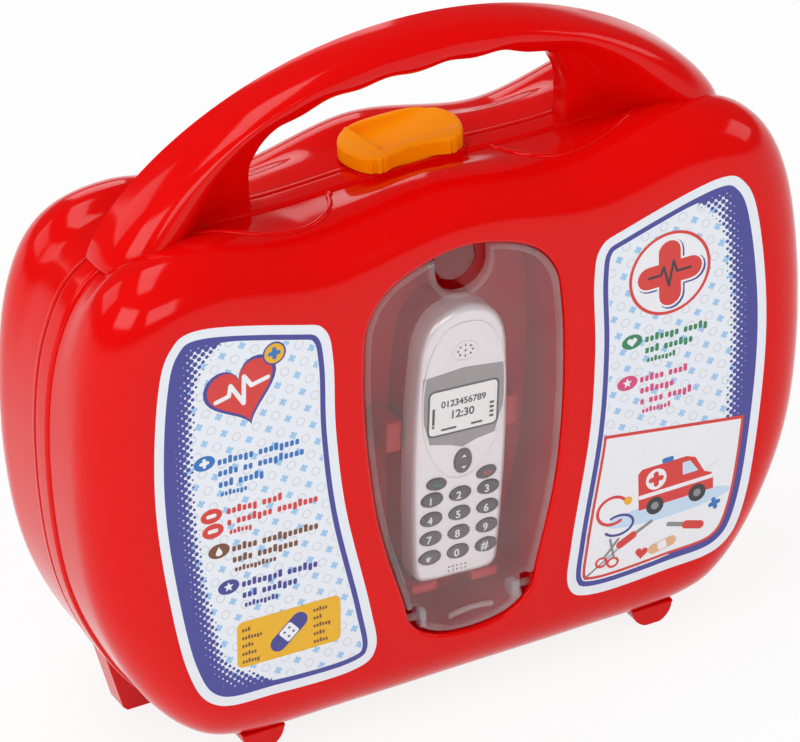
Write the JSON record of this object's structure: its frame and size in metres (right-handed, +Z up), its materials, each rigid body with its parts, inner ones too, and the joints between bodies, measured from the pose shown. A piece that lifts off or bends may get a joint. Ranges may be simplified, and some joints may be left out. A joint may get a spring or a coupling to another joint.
{
  "type": "toy_doctor_case",
  "caption": "Red plastic toy doctor's carry case with an arched handle, sliding latch, printed labels and a toy phone behind a clear door",
  "frame": {"origin": "On the floor, at the middle of the closed case's width and depth, where the two shells meet", "axes": "+X across the case to the right as seen from the front, +Y from the front face to the rear shell, +Z up"},
  "size_m": [0.258, 0.084, 0.2275],
  "materials": {
    "red_shell": "glossy injection-moulded polypropylene",
    "red_tray": "glossy injection-moulded ABS",
    "pin_steel": "drawn and zinc-plated steel wire",
    "yellow_latch": "glossy injection-moulded ABS",
    "clear_door": "clear polystyrene, polished mould",
    "printed_label": "printed and laminated film",
    "phone_silver": "silver lacquer over ABS",
    "display_print": "printed card under varnish",
    "key_plastic": "fine-grained ABS with printed digits",
    "key_rubber": "moulded silicone rubber",
    "circuit_board": "solder-masked glass-fibre board",
    "sounder_brass": "stamped brass disc",
    "cell_steel": "nickel-plated steel can"
  },
  "bodies": {
    "front_half": {"front_shell": "red_shell", "hinge_pin_left": "pin_steel", "hinge_pin_right": "pin_steel", "phone_tray": "red_tray", "label_left": "printed_label", "label_right": "printed_label", "phone_front_case": "phone_silver", "phone_back_case": "phone_silver", "phone_display_card": "display_print", "phone_key_mat": "key_rubber", "phone_circuit_board": "circuit_board", "phone_sounder": "sounder_brass", "phone_button_cells": "cell_steel", "phone_battery_door": "phone_silver", "phone_screws": "pin_steel"},
    "rear_half": {"rear_shell": "red_shell"},
    "latch": {"latch_slider": "yellow_latch"},
    "door": {"window_door": "clear_door"},
    "key_call": {"key_call": "key_plastic"},
    "key_end": {"key_end": "key_plastic"},
    "key_nav": {"key_nav": "key_plastic"},
    "key_1": {"key_1": "key_plastic"},
    "key_2": {"key_2": "key_plastic"},
    "key_3": {"key_3": "key_plastic"},
    "key_4": {"key_4": "key_plastic"},
    "key_5": {"key_5": "key_plastic"},
    "key_6": {"key_6": "key_plastic"},
    "key_7": {"key_7": "key_plastic"},
    "key_8": {"key_8": "key_plastic"},
    "key_9": {"key_9": "key_plastic"},
    "key_star": {"key_star": "key_plastic"},
    "key_0": {"key_0": "key_plastic"},
    "key_hash": {"key_hash": "key_plastic"}
  },
  "joints": [
    {"name": "case_opening", "type": "hinge", "parent": "front_half", "child": "rear_half", "pos_m": [0, 0, 0.0045], "axis": [-1, 0, 0], "range_deg": [0, 110]},
    {"name": "latch_slide", "type": "slide", "parent": "front_half", "child": "latch", "axis": [1, 0, 0], "range_m": [0, 0.0045]},
    {"name": "door_opening", "type": "hinge", "parent": "front_half", "child": "door", "pos_m": [0, -0.0372, 0.035], "axis": [1, 0, 0], "range_deg": [0, 95]},
    {"name": "key_call_press", "type": "slide", "parent": "front_half", "child": "key_call", "axis": [0, 1, 0], "range_m": [0, 0.0007], "stiffness_N_per_m": 400},
    {"name": "key_end_press", "type": "slide", "parent": "front_half", "child": "key_end", "axis": [0, 1, 0], "range_m": [0, 0.0007], "stiffness_N_per_m": 400},
    {"name": "key_nav_press", "type": "slide", "parent": "front_half", "child": "key_nav", "axis": [0, 1, 0], "range_m": [0, 0.0007], "stiffness_N_per_m": 400},
    {"name": "key_1_press", "type": "slide", "parent": "front_half", "child": "key_1", "axis": [0, 1, 0], "range_m": [0, 0.0007], "stiffness_N_per_m": 400},
    {"name": "key_2_press", "type": "slide", "parent": "front_half", "child": "key_2", "axis": [0, 1, 0], "range_m": [0, 0.0007], "stiffness_N_per_m": 400},
    {"name": "key_3_press", "type": "slide", "parent": "front_half", "child": "key_3", "axis": [0, 1, 0], "range_m": [0, 0.0007], "stiffness_N_per_m": 400},
    {"name": "key_4_press", "type": "slide", "parent": "front_half", "child": "key_4", "axis": [0, 1, 0], "range_m": [0, 0.0007], "stiffness_N_per_m": 400},
    {"name": "key_5_press", "type": "slide", "parent": "front_half", "child": "key_5", "axis": [0, 1, 0], "range_m": [0, 0.0007], "stiffness_N_per_m": 400},
    {"name": "key_6_press", "type": "slide", "parent": "front_half", "child": "key_6", "axis": [0, 1, 0], "range_m": [0, 0.0007], "stiffness_N_per_m": 400},
    {"name": "key_7_press", "type": "slide", "parent": "front_half", "child": "key_7", "axis": [0, 1, 0], "range_m": [0, 0.0007], "stiffness_N_per_m": 400},
    {"name": "key_8_press", "type": "slide", "parent": "front_half", "child": "key_8", "axis": [0, 1, 0], "range_m": [0, 0.0007], "stiffness_N_per_m": 400},
    {"name": "key_9_press", "type": "slide", "parent": "front_half", "child": "key_9", "axis": [0, 1, 0], "range_m": [0, 0.0007], "stiffness_N_per_m": 400},
    {"name": "key_star_press", "type": "slide", "parent": "front_half", "child": "key_star", "axis": [0, 1, 0], "range_m": [0, 0.0007], "stiffness_N_per_m": 400},
    {"name": "key_0_press", "type": "slide", "parent": "front_half", "child": "key_0", "axis": [0, 1, 0], "range_m": [0, 0.0007], "stiffness_N_per_m": 400},
    {"name": "key_hash_press", "type": "slide", "parent": "front_half", "child": "key_hash", "axis": [0, 1, 0], "range_m": [0, 0.0007], "stiffness_N_per_m": 400}
  ]
}
